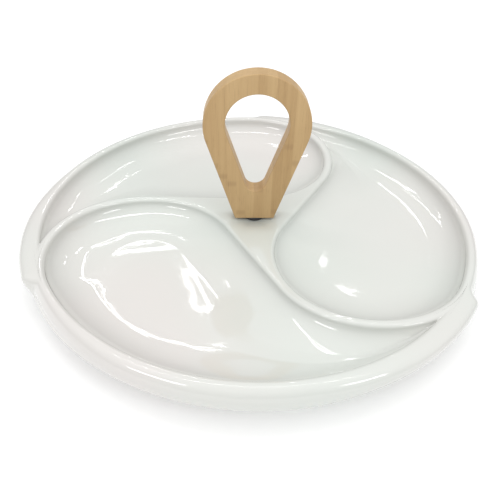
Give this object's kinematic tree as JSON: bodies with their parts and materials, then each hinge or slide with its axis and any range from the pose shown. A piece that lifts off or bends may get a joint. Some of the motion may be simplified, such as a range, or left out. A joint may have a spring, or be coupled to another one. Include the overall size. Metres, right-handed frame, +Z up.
{
  "type": "chip and dip server",
  "caption": "Round glazed serving dish with comma-shaped bowls that swirl round a low hub, and a flat bamboo loop handle clamped to the hub by a screw from below.",
  "frame": {"origin": "on the clamp screw's axis, in the plane that the foot ring stands on", "axes": "+Z up along the screw's axis; +X to the right and -Y to the front, where the divider between the left and right bowls leaves the hub; the handle's plane is turned 3.5 degrees about +Z from the XZ plane"},
  "size_m": [0.2991, 0.3001, 0.1256],
  "materials": {
    "glaze": "glossy white glaze",
    "bamboo": "satin bamboo, fine upright grain",
    "dark_rubber": "matt black",
    "brass": "turned",
    "screw_steel": "plain bright steel",
    "washer_steel": "plain bright steel",
    "clear_rubber": "milky and soft"
  },
  "bodies": {
    "dish": {"dish": "glaze"},
    "handle": {"handle": "bamboo", "threaded_insert": "brass", "handle_gasket": "dark_rubber"},
    "washers": {"steel_washer": "washer_steel", "cushion_washer": "clear_rubber"},
    "screw": {"clamp_screw": "screw_steel"}
  },
  "joints": [
    {"name": "handle_swivel", "type": "hinge", "parent": "dish", "child": "handle", "pos_m": [0, 0, 0.025], "axis": [0, 0, 1], "continuous": true},
    {"name": "screw_travel", "type": "slide", "parent": "dish", "child": "washers", "axis": [0, 0, -1], "range_m": [0, 0.0112]},
    {"name": "screw_turn", "type": "hinge", "parent": "washers", "child": "screw", "pos_m": [0, 0, 0.0153], "axis": [0, 0, -1], "range_deg": [0, 5041]}
  ],
  "couplings": [
    {"joint": "screw_turn", "follows": "screw_travel", "rad_per_m": 7854}
  ]
}
